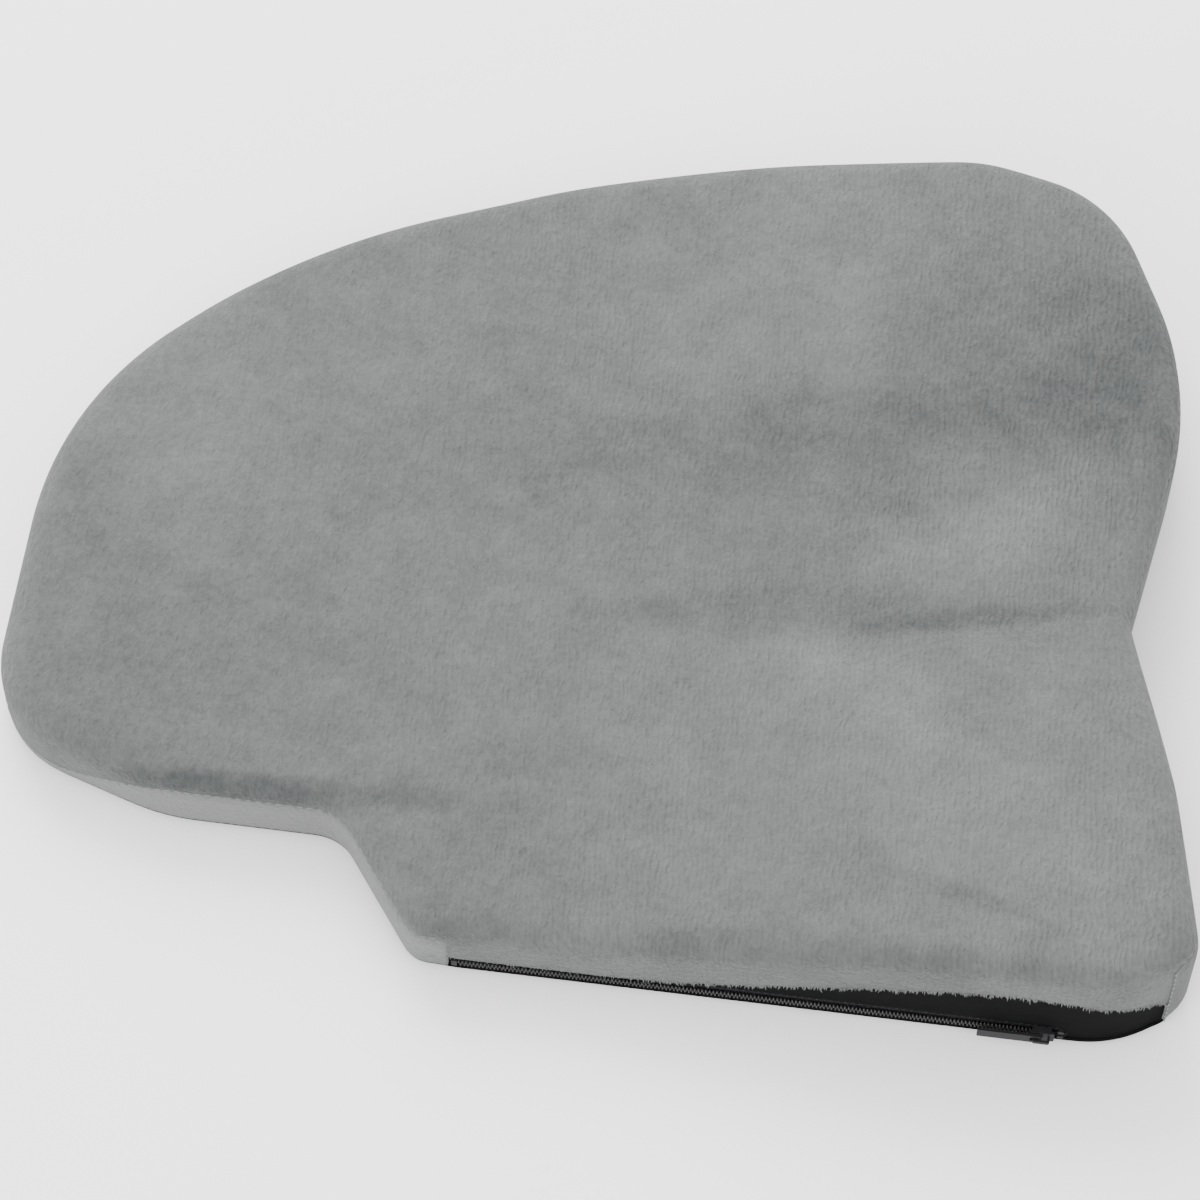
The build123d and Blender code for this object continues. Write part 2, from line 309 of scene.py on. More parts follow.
def add_thickness(piece, thickness):
    """Gives a sheet its cloth's thickness, inwards from its face."""
    wall = piece.modifiers.new("cloth_thickness", "SOLIDIFY")
    wall.thickness = thickness
    wall.offset = -1


def node_adder(tree):
    """A call that adds a node to a tree with its settings; each input is a value or a socket."""
    def add(kind, _settings=None, **inputs):
        made = tree.nodes.new(kind)
        for key, value in (_settings or {}).items():
            setattr(made, key, value)
        for key, value in inputs.items():
            socket = made.inputs[key.replace("_", " ")]
            if isinstance(value, bpy.types.NodeSocket):
                tree.links.new(value, socket)
            else:
                socket.default_value = value
        return made

    return add


def node_tools(material):
    """Short calls that add a node, that add a sum, and that join two sockets."""
    tree = material.node_tree

    def maths(operation, first, second, third=None):
        node = tree.nodes.new("ShaderNodeMath")
        node.operation = operation
        for slot, value in enumerate((first, second, third)):
            if value is None:
                continue
            if isinstance(value, (int, float)):
                node.inputs[slot].default_value = value
            else:
                tree.links.new(value, node.inputs[slot])
        return node.outputs[0]

    return node_adder(tree), maths, tree.links.new


def join_bump(add, join, height, shader, strength, depth):
    """Bumps a shader's surface by a height socket."""
    bump = add("ShaderNodeBump", Strength=strength, Distance=depth, Height=height)
    join(bump.outputs["Normal"], shader.inputs["Normal"])


def join_tones(add, join, share, shader, tones, starts=(0.0, 1.0)):
    """Colours a shader between two tones by a share socket."""
    ramp = add("ShaderNodeValToRGB", Fac=share)
    for element, tone, start in zip(ramp.color_ramp.elements, tones, starts):
        element.position = start
        element.color = (*tone, 1)
    join(ramp.outputs["Color"], shader.inputs["Base Color"])


foam, foam_shader = plain_material("moulded_foam", (0.80, 0.74, 0.58), 0.95)
add, maths, join = node_tools(foam)
place = add("ShaderNodeTexCoord").outputs["Object"]
cells = add("ShaderNodeTexVoronoi", Scale=900.0, Vector=place)
join_bump(add, join, cells.outputs["Distance"], foam_shader, 0.6, 0.0004)
yellowing = add("ShaderNodeTexNoise", Scale=14.0, Detail=3.0, Vector=place)
foam_tones = ((0.72, 0.64, 0.45), (0.85, 0.80, 0.66))
join_tones(add, join, yellowing.outputs["Fac"], foam_shader, foam_tones)

cover_gap, channel_lip = 0.0001, 0.0002
foam_inset = cover_thickness + cover_gap
in_channel = np.where(in_slot, channel_depth - foam_inset, 0.0)
foam_levels = [
    (base_seam_height, 0),
    (base_seam_height + channel_lip, 1),
    (slot_top - channel_lip, 1),
    (slot_top, 0),
]
foam_rows = base_rows(foam_inset)
for level, pushed in foam_levels:
    foam_rows.append(form_row(np.full(columns, level), foam_inset, in_channel * pushed))
for share in (0.25, 0.5, 0.75, 0.9, 1.0):
    level = slot_top + share * (level_at_top(foam_inset) - slot_top)
    foam_rows.append(form_row(level, foam_inset))
foam_points, foam_faces, _ = closed_bag(
    foam_rows, 2 * cloth_spacing, lambda x, y: float(top_height(x, y)) - foam_inset
)
foam_core = new_piece("moulded_foam_core", foam_points, foam_faces, foam)
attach(foam_core, "pad")
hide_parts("foam_core")

# ---------------------------------------------------------------------------------------------
# Cover: plush knit panels sewn round the foam and pulled tight by it. The cover is blown up a
# little as one closed bag, held at its seams, and then cut into its panels along them.
seam_drop, nose_wrap = 0.007, 0.016         # the top seam, and how much lower it runs at the nose
wrap_start, wrap_end = 0.072, 0.022         # from the nose's tip
panel_height, panel_tip_height = 0.038, 0.025
panel_lead, panel_crest, panel_tip_radius = 0.048, 0.012, 0.005
plush_thickness = 0.0016
cloth_rise = 0.0016                         # the most that the cloth swells over the foam
slot_rows, panel_rows, skirt_rows, rim_rows = 2, 6, 4, 7


def panel_edge(x):
    """Height of the black panel's upper edge above the floor."""
    climb_start = zip_left + panel_lead
    crest = zip_right - panel_crest
    edge = slot_top + smooth_step((x - climb_start) / (crest - climb_start)) * (panel_height - slot_top)
    fall = np.clip((x - crest) / (panel_right - crest), 0, 1)
    edge = edge - (panel_height - panel_tip_height) * fall * fall * (1.5 - 0.5 * fall)
    past = np.clip(x - (panel_right - panel_tip_radius), 0, panel_tip_radius)
    return edge - (panel_tip_radius - np.sqrt(panel_tip_radius**2 - past**2))


wrap = smooth_step((wrap_start - (outline[:, 0] + half_length)) / (wrap_start - wrap_end))
rim_start = top_height(outline[:, 0], outline[:, 1]) - rim_radius
seam_level = rim_start + rim_radius * math.asin(1 - seam_drop / rim_radius)
seam_level = seam_level - nose_wrap * wrap
slot_level = np.minimum(slot_top, base_seam_height + 0.5 * (seam_level - base_seam_height))
band_middle = slot_level + 0.5 * (seam_level - slot_level)
edge_level = np.where(in_side, panel_edge(outline[:, 0]), band_middle)
cover_rows = base_rows()
base_seam_row = len(cover_rows)
for k in range(slot_rows):
    cover_rows.append(form_row(base_seam_height + (slot_level - base_seam_height) * k / slot_rows))
for k in range(panel_rows):
    cover_rows.append(form_row(slot_level + (edge_level - slot_level) * k / panel_rows))
edge_row = len(cover_rows)
for k in range(skirt_rows):
    cover_rows.append(form_row(edge_level + (seam_level - edge_level) * k / skirt_rows))
seam_row = len(cover_rows)
for k in range(rim_rows + 1):
    cover_rows.append(form_row(seam_level + (level_at_top() - seam_level) * k / rim_rows))
points, faces, face_rows = closed_bag(cover_rows, cloth_spacing, lambda x, y: float(top_height(x, y)))
wall_points = len(cover_rows) * columns
row_of = np.full(len(points), len(cover_rows))
row_of[:wall_points] = np.repeat(np.arange(len(cover_rows)), columns)
column_of = np.zeros(len(points), int)
column_of[:wall_points] = np.tile(np.arange(columns), len(cover_rows))
on_wall = row_of < len(cover_rows)


def inflated(shape, polygons, held, most):
    """The shape's points after the cloth is blown up from inside, moved by no more than most."""
    bag = new_piece("bag", shape, polygons)
    grip = bag.vertex_groups.new(name="held")
    for k, share in enumerate(held):
        grip.add([k], float(share), "REPLACE")
    cloth = bag.modifiers.new("cloth", "CLOTH")
    cloth.settings.quality = 5
    cloth.settings.mass = 0.25
    cloth.settings.tension_stiffness = 12
    cloth.settings.compression_stiffness = 12
    cloth.settings.shear_stiffness = 4
    cloth.settings.bending_stiffness = 0.4
    cloth.settings.use_pressure = True
    cloth.settings.uniform_pressure_force = 4
    cloth.settings.vertex_group_mass = "held"
    cloth.settings.effector_weights.gravity = 0
    cloth.collision_settings.use_collision = False
    for step in range(1, 21):
        bpy.context.scene.frame_set(step)
    settled = bag.evaluated_get(bpy.context.evaluated_depsgraph_get())
    moved = np.array([tuple(v.co) for v in settled.data.vertices]) - shape
    bpy.context.scene.frame_set(1)
    bpy.data.objects.remove(bag)
    distance = np.linalg.norm(moved, axis=1)
    return shape + moved * np.minimum(1.0, most / np.maximum(distance, 1e-9))[:, None]


most = np.where(points[:, 2] < base_seam_height, 0.0, cloth_rise)
at_side = on_wall & in_side[column_of]
most[at_side & (row_of <= edge_row)] = 0.0
over_edge = at_side & (row_of > edge_row)
most[over_edge] = cloth_rise * (row_of[over_edge] - edge_row) / (len(cover_rows) - edge_row)
held = np.where(row_of == seam_row, 0.7, 0.0)
held[points[:, 2] <= base_seam_height] = 1.0
points = inflated(points, faces, held, most)

# the seams sink between the panels that they join, but lie flat where the top one nears the floor
for row, sink in (
    (base_seam_row, 0.0007), (seam_row - 1, 0.0002), (seam_row, 0.0009), (seam_row + 1, 0.0002)
):
    here = (row_of == row) & ~in_side[column_of]
    depth = np.full(here.sum(), sink)
    if row != base_seam_row:
        depth = sink * (1 - 0.9 * wrap[column_of[here]])
    points[here, :2] -= outward[column_of[here]] * depth[:, None]

# soft creases, where the cloth gathers a little at the notch and above the zip
creases = [
    ((0.086, -0.036), (0.172, -0.010), 0.0016, 0.007),
    ((0.100, -0.124), (0.158, -0.138), 0.0010, 0.005),
    ((0.140, 0.030), (0.172, 0.012), 0.0010, 0.006),
]
on_top = row_of >= seam_row + 4
for start, end, depth, width in creases:
    start, end = np.array(start), np.array(end)
    run = end - start
    along = (points[:, :2] - start) @ run / (run @ run)
    across = (points[:, 0] - start[0]) * run[1] - (points[:, 1] - start[1]) * run[0]
    away = np.abs(across) / np.linalg.norm(run)
    fade = np.clip(np.sin(np.clip(along, 0, 1) * math.pi), 0, 1)
    points[:, 2] -= np.where(on_top, depth * fade * np.exp(-((away / width) ** 2)), 0)


def cut_panel(name, chosen, material, thickness):
    """One panel of the cover: its faces, subdivided once, with the cloth's thickness inwards."""
    kept = np.flatnonzero(chosen)
    used = sorted({k for f in kept for k in faces[f]})
    place_of = {k: i for i, k in enumerate(used)}
    polygons = [tuple(place_of[k] for k in faces[f]) for f in kept]
    piece = new_piece(name, points[used], polygons, material)
    smooth = piece.modifiers.new("smooth", "SUBSURF")
    smooth.levels = smooth.render_levels = 1
    add_thickness(piece, thickness)
    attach(piece, "pad")
    return piece


face_columns = np.full(len(faces), -1)
is_wall = (face_rows >= 0) & (face_rows < len(cover_rows))
face_columns[is_wall] = np.arange(is_wall.sum()) % columns
next_column = (face_columns + 1) % columns
side_faces = is_wall & in_side[face_columns] & in_side[next_column]
top_faces = (face_rows >= seam_row) | (side_faces & (face_rows >= edge_row))
band_faces = is_wall & (face_rows >= base_seam_row) & (face_rows < seam_row) & ~side_faces
middles = np.array([points[list(f)].mean(axis=0) for f in faces])
band_joint_x = -half_length + 0.155
lobe_part = (middles[:, 0] > 0) | ((middles[:, 0] > band_joint_x) & (middles[:, 1] > 0))


def plush_material(name, pile, base_tones, sheen, painted_zones):
    """Short-pile plush: upright ribs, brushed marks, and zones of painted light and painted shade on
    its colour.
    """
    material, shader = plain_material(name, (0.2, 0.2, 0.2), 0.95)
    shader.inputs["Specular IOR Level"].default_value = 0.12
    shader.inputs["Sheen Weight"].default_value = sheen
    shader.inputs["Sheen Roughness"].default_value = 0.4
    shader.inputs["Sheen Tint"].default_value = (0.92, 0.95, 0.95, 1)
    add, maths, join = node_tools(material)
    place = add("ShaderNodeTexCoord").outputs["Object"]
    turned = add("ShaderNodeMapping", Rotation=(0, 0, math.radians(-4)), Vector=place)
    split = add("ShaderNodeSeparateXYZ", Vector=turned.outputs["Vector"])
    # ribs that wander, a little closer together at the nose than over the stretched lobes
    rib_pitch, rib_drift = 0.0019, 0.0048
    squeezed = maths("MULTIPLY_ADD", split.outputs["X"], -0.30, 1.0)
    across = maths("MULTIPLY", split.outputs["X"], squeezed)
    wander = add("ShaderNodeTexNoise", Scale=130.0, Detail=3.0, Vector=turned.outputs["Vector"])
    drifting = maths("MULTIPLY_ADD", wander.outputs["Fac"], rib_drift, across)
    wave = maths("SINE", maths("MULTIPLY", drifting, 2 * math.pi / rib_pitch), 0.0)
    # tufts along the ribs
    tuft_map = add("ShaderNodeMapping", Scale=(1.0, 0.6, 1.0), Vector=turned.outputs["Vector"])
    tufts = add("ShaderNodeTexNoise", Scale=520.0, Detail=4.0, Roughness=0.7,
                Vector=tuft_map.outputs["Vector"])
    # the ribs show most where the cloth is stretched, at the near lobe
    stretch = add("ShaderNodeMapRange", From_Min=-0.2, From_Max=0.2, To_Min=0.12, To_Max=1.0,
                  Value=split.outputs["X"])
    patchy = add("ShaderNodeTexNoise", Scale=22.0, Detail=2.0, Vector=place)
    rib_share = maths("MULTIPLY", maths("MULTIPLY", stretch.outputs[0], pile), patchy.outputs["Fac"])
    height = maths("MULTIPLY_ADD", wave, rib_share, maths("MULTIPLY", tufts.outputs["Fac"], 2.6))
    join_bump(add, join, height, shader, 1.0, 0.0008)
    # brushed marks, longer across the ribs
    mark_map = add("ShaderNodeMapping", Scale=(0.8, 1.0, 1.0), Vector=place)
    marks = add("ShaderNodeTexNoise", Scale=62.0, Detail=8.0, Roughness=0.78,
                Vector=mark_map.outputs["Vector"])
    cloudy = add("ShaderNodeTexNoise", Scale=8.0, Detail=2.0, Vector=place)
    tone = maths("ADD", marks.outputs["Fac"], maths("MULTIPLY", cloudy.outputs["Fac"], 0.5))
    tone = maths("ADD", tone, -1.07)
    tone = maths("MULTIPLY_ADD", height, 0.26, tone)
    ragged = add("ShaderNodeTexNoise", Scale=30.0, Detail=5.0, Roughness=0.6, Vector=place)
    # each zone adds painted light or painted shade to the tone, with a ragged edge
    for x, y, reach_x, reach_y, turn, shade in painted_zones:
        local = add("ShaderNodeMapping", {"vector_type": "TEXTURE"}, Location=(x, y, 0.0),
                    Rotation=(0, 0, math.radians(turn)), Scale=(reach_x, reach_y, 1.0), Vector=place)
        flat = add("ShaderNodeVectorMath", {"operation": "MULTIPLY"})
        flat.inputs[1].default_value = (1.0, 1.0, 0.0)
        join(local.outputs["Vector"], flat.inputs[0])
        away = add("ShaderNodeVectorMath", {"operation": "LENGTH"}, Vector=flat.outputs["Vector"])
        frayed = maths("MULTIPLY_ADD", ragged.outputs["Fac"], 0.7, away.outputs["Value"])
        zone = add("ShaderNodeMapRange", {"interpolation_type": "SMOOTHSTEP"},
                   From_Min=0.65, From_Max=1.5, To_Min=shade, To_Max=0.0, Value=frayed)
        tone = maths("ADD", tone, zone.outputs[0])
    spread = add("ShaderNodeMapRange", From_Min=-0.55, From_Max=0.55, Value=tone)
    join_tones(add, join, spread.outputs[0], shader, base_tones)
    return material


# Painted light and painted shade for the lobes' slopes, the trough, the rims and the pile's sheen:
# middle, reach, turn and shade of each zone.
painted_light_and_shade_zones = [
    (0.145, 0.090, 0.070, 0.055, -20, -0.20),
    (0.180, 0.062, 0.030, 0.040, 20, -0.14),
    (0.058, 0.048, 0.120, 0.022, 8, -0.16),
    (0.060, -0.024, 0.080, 0.013, 5, -0.18),
    (0.130, 0.015, 0.050, 0.022, 25, 0.26),
    (0.088, -0.052, 0.045, 0.018, -30, 0.18),
    (0.135, -0.100, 0.070, 0.035, -30, 0.16),
    (0.130, -0.020, 0.060, 0.005, 12, -0.20),
    (0.135, -0.131, 0.030, 0.004, -14, -0.16),
    (-0.160, 0.030, 0.040, 0.070, 30, 0.12),
    (-0.060, -0.020, 0.060, 0.040, 0, 0.08),
    (-0.120, -0.112, 0.090, 0.007, 3, -0.34),
    (0.090, -0.154, 0.110, 0.009, -1, -0.16),
]
plush_tones = ((0.045, 0.049, 0.0485), (0.145, 0.151, 0.148))
plush = plush_material("grey_plush", 0.38, plush_tones, 0.13, painted_light_and_shade_zones)
# The nose band is the same velour with its pile brushed flat; its near side is painted paler, as
# painted light where it faces the front.
near_side_painted_light = [(-0.120, -0.130, 0.150, 0.085, 0, 0.62)]
side_tones = ((0.035, 0.038, 0.038), (0.150, 0.153, 0.152))
side_plush = plush_material("side_plush", 0.08, side_tones, 0.16, near_side_painted_light)
top_panel = cut_panel("plush_top_panel", top_faces, plush, plush_thickness)
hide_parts("top_panel")
for name, node, chosen, pile, band_height in (
    ("plush_nose_band", "nose_side_band", band_faces & ~lobe_part, side_plush, 0.034),
    ("plush_lobe_band", "lobe_side_band", band_faces & lobe_part, plush, 0.050),
):
    band = cut_panel(name, chosen, pile, plush_thickness)
    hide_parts(node)

# ---------------------------------------------------------------------------------------------
# Black side panel: a strip of matt black jersey let in above the zip, 1 mm behind the plush's
# face, which climbs to 38 mm and ends in a rounded tip round the corner.
black_face_depth = 0.001
black_thickness = 0.0009
black_lap = 0.0006                          # how far it runs up behind the plush


def fabric_material(name, tones, weave_scale, roughness, bump_height):
    """A matt woven or knitted cloth: a fine grid of threads with a little lint."""
    material, shader = plain_material(name, tones[0], roughness)
    shader.inputs["Specular IOR Level"].default_value = 0.06
    add, maths, join = node_tools(material)
    place = add("ShaderNodeTexCoord").outputs["Object"]
    split = add("ShaderNodeSeparateXYZ", Vector=place)
    warp = maths("SINE", maths("MULTIPLY", split.outputs["X"], 2 * math.pi / weave_scale), 0.0)
    rise = maths("ADD", split.outputs["Y"], split.outputs["Z"])
    weft = maths("SINE", maths("MULTIPLY", rise, 2 * math.pi / weave_scale), 0.0)
    weave = maths("MULTIPLY_ADD", warp, weft, 1.0)
    lint = add("ShaderNodeTexNoise", Scale=260.0, Detail=4.0, Roughness=0.7, Vector=place)
    height = maths("MULTIPLY_ADD", weave, 0.35, lint.outputs["Fac"])
    join_bump(add, join, height, shader, 0.6, bump_height)
    join_tones(add, join, maths("MULTIPLY", height, 0.6), shader, tones, (0.25, 1.0))
    return material


jersey_tones = ((0.0012, 0.0013, 0.0014), (0.004, 0.0042, 0.0045))
black_cloth = fabric_material("black_jersey", jersey_tones, 0.0007, 0.9, 0.0002)
side_columns = np.flatnonzero(in_side)
side_columns = side_columns[np.argsort(outline[side_columns, 0])]
across_rows = 9
black_points, black_faces = [], []
for c in side_columns:
    x = outline[c, 0]
    bottom = slot_top if x < zip_right - tolerance else base_seam_height
    upper = float(panel_edge(x)) + black_lap
    for k in range(across_rows + 1):
        inner = outline[c] - outward[c] * black_face_depth
        black_points.append((inner[0], inner[1], bottom + (upper - bottom) * k / across_rows))
for i in range(len(side_columns) - 1):
    for k in range(across_rows):
        a = i * (across_rows + 1) + k
        b = a + across_rows + 1
        black_faces.append((a, b, b + 1, a + 1))
black_panel = new_piece("black_side_panel", black_points, black_faces, black_cloth)
add_thickness(black_panel, black_thickness)
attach(black_panel, "pad")
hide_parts("zip_side_panel")

# ---------------------------------------------------------------------------------------------
# Base: one sheet of black non-slip cloth, rounded up to the bottom seam all round, with a grid
# of dark grey silicone dots printed on it and a blank white care label sewn to it.
base_faces = face_rows < base_seam_row
base_cloth_thickness, base_turn_up = 0.0012, 0.003
base_tones = ((0.002, 0.0021, 0.0023), (0.0075, 0.0078, 0.0082))
base_cloth_material = fabric_material("black_base_cloth", base_tones, 0.0012, 0.9, 0.0003)
base_cloth = cut_panel("black_base_cloth", base_faces, base_cloth_material, base_cloth_thickness)
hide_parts("base_panel")


def repeat_tree(name, sizes, build_shape):
    """A Geometry Nodes tree that sets one shape at every point, turned to the point's direction."""
    tree = bpy.data.node_groups.new(name, "GeometryNodeTree")
    tree.interface.new_socket("Geometry", in_out="INPUT", socket_type="NodeSocketGeometry")
    tree.interface.new_socket("Geometry", in_out="OUTPUT", socket_type="NodeSocketGeometry")
    for title, value in sizes.items():
        socket = tree.interface.new_socket(title, in_out="INPUT", socket_type="NodeSocketFloat")
        socket.default_value = value
    tree.interface.new_socket("Finish", in_out="INPUT", socket_type="NodeSocketMaterial")
    entry = tree.nodes.new("NodeGroupInput")
    leave = tree.nodes.new("NodeGroupOutput")
    node = node_adder(tree)
    shape, rotation, scale = build_shape(node, entry)
    spots = node("GeometryNodeInstanceOnPoints", Points=entry.outputs["Geometry"], Instance=shape,
                 Rotation=rotation)
    if scale is not None:
        tree.links.new(scale, spots.inputs["Scale"])
    real = node("GeometryNodeRealizeInstances", Geometry=spots.outputs["Instances"])
    painted = node("GeometryNodeSetMaterial", Geometry=real.outputs["Geometry"],
                   Material=entry.outputs["Finish"])
    tree.links.new(painted.outputs["Geometry"], leave.inputs["Geometry"])
    return tree


def grown_piece(name, places, directions, tree, material, sizes=None):
    """The plain mesh that a tree grows from a list of places and directions."""
    seeds = new_piece(name + "_seeds", places, [])
    facing = seeds.data.attributes.new("facing", "FLOAT_VECTOR", "POINT")
    facing.data.foreach_set("vector", np.array(directions, float).ravel())
    grower = seeds.modifiers.new("grow", "NODES")
    grower.node_group = tree
    for item in tree.interface.items_tree:
        if item.in_out == "INPUT" and item.name == "Finish":
            grower[item.identifier] = material
        if item.in_out == "INPUT" and sizes and item.name in sizes:
            grower[item.identifier] = float(sizes[item.name])
    ready = seeds.evaluated_get(bpy.context.evaluated_depsgraph_get())
    mesh = bpy.data.meshes.new_from_object(ready)
    mesh.name = name
    made = bpy.data.objects.new(name, mesh)
    bpy.context.collection.objects.link(made)
    bpy.data.objects.remove(seeds)
    mesh.shade_smooth()
    return made


def facing_rotation(node, axis="X"):
    """The turn that lays an instance's axis along the point's own direction."""
    facing = node("GeometryNodeInputNamedAttribute", {"data_type": "FLOAT_VECTOR"}, Name="facing")
    turn = node("FunctionNodeAlignRotationToVector", {"axis": axis}, Vector=facing.outputs["Attribute"])
    return turn.outputs["Rotation"]


def dome(node, entry):
    """One silicone dot: half of a flattened ball stands out of the cloth."""
    ball = node("GeometryNodeMeshUVSphere", Segments=14, Rings=8, Radius=1.0)
    radius = entry.outputs["Dot Radius"]
    size = node("ShaderNodeCombineXYZ", X=radius, Y=radius, Z=entry.outputs["Dot Height"])
    return ball.outputs["Mesh"], facing_rotation(node), size.outputs["Vector"]


silicone, silicone_shader = plain_material("grey_silicone", (0.045, 0.047, 0.05), 0.42)
silicone_shader.inputs["Subsurface Weight"].default_value = 0.1
silicone_shader.inputs["Subsurface Radius"].default_value = (0.001, 0.001, 0.001)
add, maths, join = node_tools(silicone)
place = add("ShaderNodeTexCoord").outputs["Object"]
skin = add("ShaderNodeTexNoise", Scale=500.0, Detail=2.0, Vector=place)
join_bump(add, join, skin.outputs["Fac"], silicone_shader, 0.25, 0.0001)
dot_pitch, dot_radius, dot_height, dot_border = 0.020, 0.0025, 0.0008, 0.020
label_low, label_high = (Vector(corner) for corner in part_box("care_label"))
label_middle = (label_low + label_high) / 2
label_clear = 0.008
dot_places = []
dot_columns, dot_rows = int(half_length / dot_pitch), int(half_width / dot_pitch)
for i in range(-dot_columns, dot_columns + 1):
    for j in range(-dot_rows, dot_rows + 1):
        x, y = (i + 0.5 * (j % 2)) * dot_pitch, j * dot_pitch
        edge_gap = outline - (x, y)
        nearest = np.argmin(np.hypot(*edge_gap.T))
        inside = float(edge_gap[nearest] @ outward[nearest]) > dot_border
        over_label = (abs(x - label_middle.x) < (label_high.x - label_low.x) / 2 + label_clear
                      and abs(y - label_middle.y) < (label_high.y - label_low.y) / 2 + label_clear)
        if inside and not over_label:
            dot_places.append((x, y, dot_height))
dot_tree = repeat_tree("grip_dot_grid", {"Dot Radius": dot_radius, "Dot Height": dot_height}, dome)
dots = grown_piece("silicone_grip_dots", dot_places, [(1, 0, 0)] * len(dot_places), dot_tree, silicone)
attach(dots, "pad")
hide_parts("grip_dots")

satin_tones = ((0.62, 0.62, 0.60), (0.80, 0.80, 0.78))
label_cloth = fabric_material("white_label_satin", satin_tones, 0.0004, 0.6, 0.0001)
label_points, label_faces = [], []
label_steps_x, label_steps_y = 16, 8
label_ripple, label_thickness = 0.00012, 0.0002
for j in range(label_steps_y + 1):
    for i in range(label_steps_x + 1):
        x = label_low.x + (label_high.x - label_low.x) * i / label_steps_x
        y = label_low.y + (label_high.y - label_low.y) * j / label_steps_y
        wave = math.sin(9 * i / label_steps_x * math.pi) * math.sin(j / label_steps_y * math.pi)
        label_points.append((x, y, label_low.z + label_thickness + label_ripple * wave))
for j in range(label_steps_y):
    for i in range(label_steps_x):
        a = j * (label_steps_x + 1) + i
        b = a + label_steps_x + 1
        label_faces.append((a, b, b + 1, a + 1))
label = new_piece("blank_care_label", label_points, label_faces, label_cloth)
add_thickness(label, label_thickness)
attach(label, "pad")
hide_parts("care_label")

# ---------------------------------------------------------------------------------------------
# Stitching: polyester thread in lockstitch, grey on the plush and black along the zip's tapes.
# Each stitch is a short rounded pass of thread that dips at both ends.


def stitch_shape(node, entry):
    """One pass of thread between two needle holes."""
    ball = node("GeometryNodeMeshUVSphere", Segments=8, Rings=6, Radius=1.0)
    radius = entry.outputs["Thread Radius"]
    size = node("ShaderNodeCombineXYZ", X=entry.outputs["Half Length"], Y=radius, Z=radius)
    return ball.outputs["Mesh"], facing_rotation(node), size.outputs["Vector"]


stitch_tree = repeat_tree("stitch_run", {"Half Length": 0.0013, "Thread Radius": 0.00026}, stitch_shape)


def thread_material(name, colour):
    """Twisted polyester thread of one colour."""
    material, shader = plain_material(name, colour, 0.6)
    shader.inputs["Sheen Weight"].default_value = 0.2
    add, maths, join = node_tools(material)
    place = add("ShaderNodeTexCoord").outputs["Object"]
    twist = add("ShaderNodeTexWave", {"bands_direction": "DIAGONAL"}, Scale=900.0, Distortion=1.0,
                Vector=place)
    join_bump(add, join, twist.outputs["Fac"], shader, 0.5, 0.0001)
    return material


def stitched_line(path, closed, pitch):
    """Places and directions of the stitches along a path."""
    path = np.array(path)
    if closed:
        path = np.vstack([path, path[:1]])
    lengths = np.concatenate([[0], np.cumsum(np.linalg.norm(np.diff(path, axis=0), axis=1))])
    count = max(1, int(lengths[-1] / pitch))
    stops = (np.arange(count) + 0.5) * lengths[-1] / count
    places = np.column_stack([np.interp(stops, lengths, path[:, k]) for k in range(3)])
    ahead = np.column_stack([np.interp(stops + pitch / 4, lengths, path[:, k]) for k in range(3)])
    return places, ahead - places


def row_path(row, chosen, proud):
    """The path along one row of the cover over the chosen columns, in order."""
    first = int(np.flatnonzero(chosen & ~np.roll(chosen, 1))[0]) if not chosen.all() else 0
    order = [(first + k) % columns for k in range(columns) if chosen[(first + k) % columns]]
    path = points[row * columns + np.array(order)]
    path[:, :2] += outward[order] * proud
    return path


stitch_pitch, tape_stitch_pitch = 0.0036, 0.0025
thread_proud, thread_sunk = 0.0001, 0.0002
grey_thread = thread_material("grey_thread", (0.14, 0.145, 0.145))
black_thread = thread_material("black_thread", (0.012, 0.012, 0.013))
not_side = ~in_side
top_run = stitched_line(row_path(seam_row, not_side, 0.0), False, stitch_pitch)
base_run = stitched_line(row_path(base_seam_row, not_side, -thread_sunk), False, stitch_pitch)
joint_columns = [
    int(np.argmin(np.abs(outline[:, 0] - band_joint_x) + np.where(outline[:, 1] > 0, 0, 1))),
    int(side_columns[-1]),
]
joint_runs = []
for column in joint_columns:
    path = points[np.arange(base_seam_row, seam_row + 1) * columns + column].copy()
    path[:, :2] += outward[column] * thread_proud
    joint_runs.append(stitched_line(path, False, stitch_pitch))
tape_runs = []
tape_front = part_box("zip_tape_upper")[0][1]
tape_edge_gap, tape_end_gap = 0.0004, 0.0005
for height in (slot_top - tape_edge_gap, base_seam_height + tape_edge_gap):
    ends = (zip_left + tape_end_gap, zip_right - tape_end_gap)
    line = [(x, tape_front - thread_proud, height) for x in ends]
    tape_runs.append(stitched_line(line, False, tape_stitch_pitch))
fine_stitch = {"Half Length": 0.0009, "Thread Radius": 0.0002}
for name, node_name, runs, material, slot, sizes in (
    ("top_seam_stitches", "top_seam_stitching", [top_run], grey_thread, "grey_thread", None),
    ("base_seam_stitches", "base_seam_stitching", [base_run], grey_thread, "grey_thread", None),
    ("band_joint_stitches", "band_joint_stitching", joint_runs, grey_thread, "grey_thread", None),
    ("zip_tape_stitches", "zip_tape_stitching", tape_runs, black_thread, "black_thread", fine_stitch),
):
    places = np.vstack([run[0] for run in runs])
    directions = np.vstack([run[1] for run in runs])
    stitches = grown_piece(name, places, directions, stitch_tree, material, sizes)
    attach(stitches, "pad")
    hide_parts(node_name)

# ---------------------------------------------------------------------------------------------
# Raw plush edge: along the black panel the plush is cut and not hemmed, so its pile hangs over
# the black as a ragged fringe of tufts 1 to 2.4 mm long.


